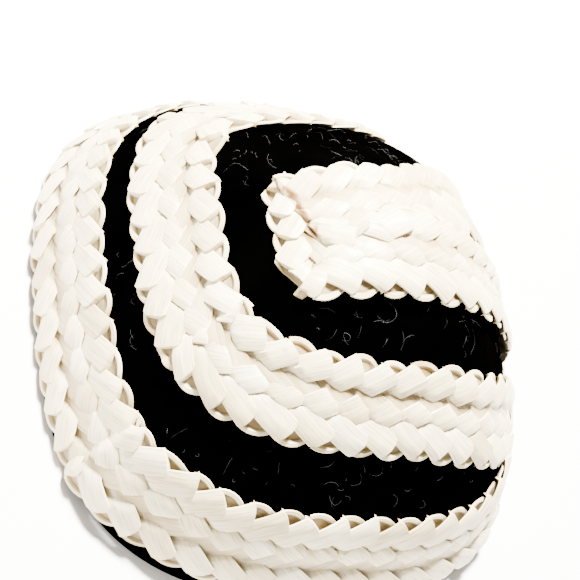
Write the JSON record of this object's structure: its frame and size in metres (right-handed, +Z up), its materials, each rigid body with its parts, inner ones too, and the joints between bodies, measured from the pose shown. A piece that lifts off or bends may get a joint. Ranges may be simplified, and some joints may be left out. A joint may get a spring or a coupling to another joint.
{
  "type": "fascinator",
  "caption": "Small domed velvet cap hat, open below, with scalloped flat plaited raffia bands sewn round its rim, round three sides of the crown and folded double over the top.",
  "frame": {"origin": "centre of the rim, on the surface that the hat rests on", "axes": "+Z up through the crown; -X is the side where the folded end of the centre braid points, and the runs of the braids go down under the rim braid on the +X side"},
  "size_m": [0.1872, 0.1966, 0.0946],
  "materials": {
    "velvet": "black cotton velvet with a short dense pile",
    "raffia": "ivory raffia ribbon with a satin sheen, flat plaited"
  },
  "bodies": {
    "root": {"crown": "velvet", "rim_braid": "raffia", "middle_braid": "raffia", "centre_braid": "raffia"}
  },
  "joints": []
}
